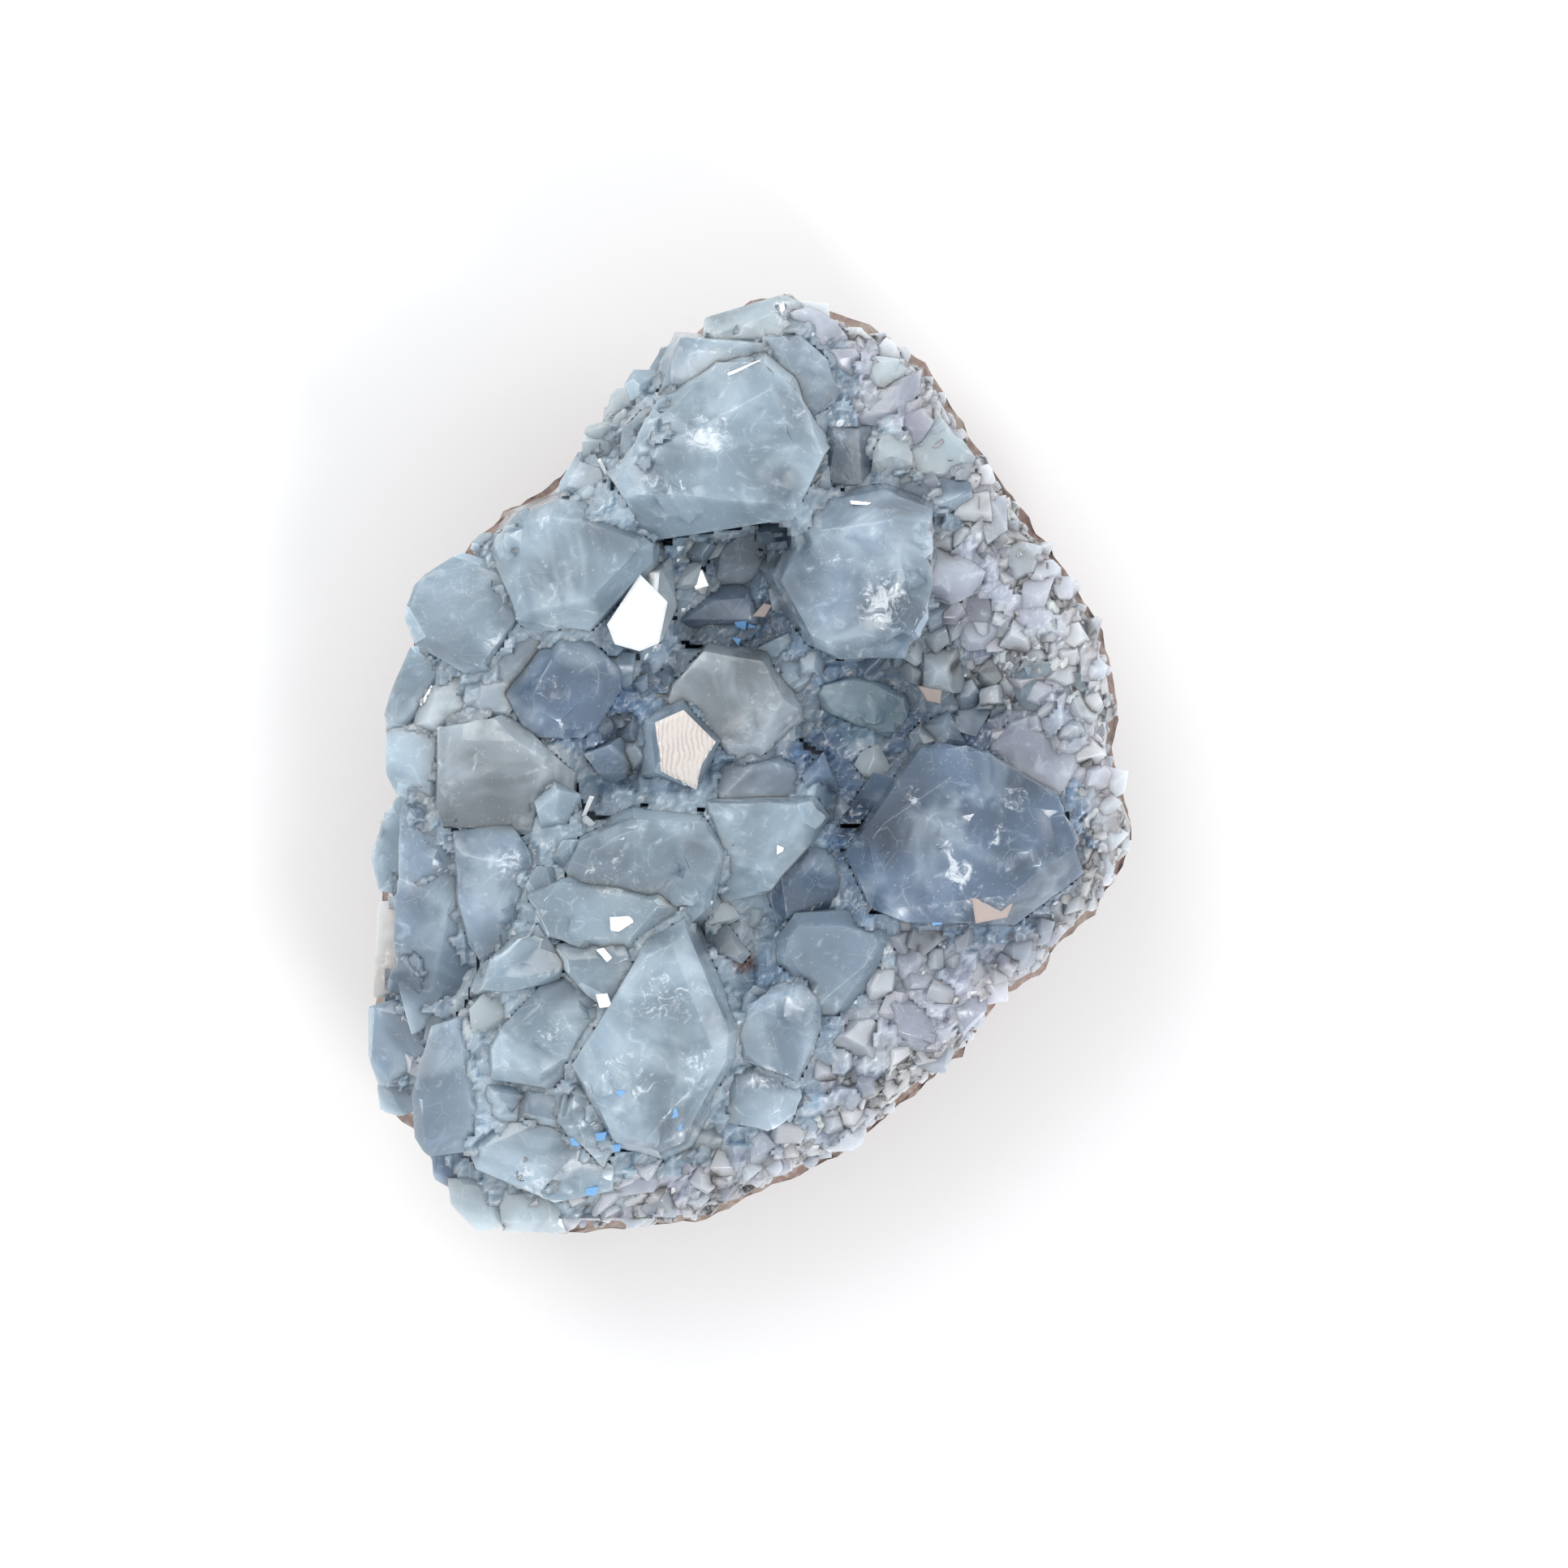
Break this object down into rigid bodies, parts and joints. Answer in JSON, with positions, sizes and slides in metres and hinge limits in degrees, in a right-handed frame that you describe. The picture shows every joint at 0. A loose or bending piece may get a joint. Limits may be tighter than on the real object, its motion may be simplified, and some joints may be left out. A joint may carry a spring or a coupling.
{
  "type": "celestite crystal cluster",
  "caption": "Pale blue see-through crystals grown together over a hollow in a piece of pale geode wall, lying on its rounded back",
  "frame": {"origin": "bottom of the flat spot that it rests on, in the middle of the box around the part", "axes": "X right and Y up as the picture shows it from above, Z up out of the hollow"},
  "size_m": [0.0787, 0.0973, 0.0451],
  "materials": {
    "matrix": "dull granular stone",
    "crystals": "milky see-through crystal with flat faces"
  },
  "bodies": {
    "root": {"matrix": "matrix", "crystals": "crystals"}
  },
  "joints": []
}
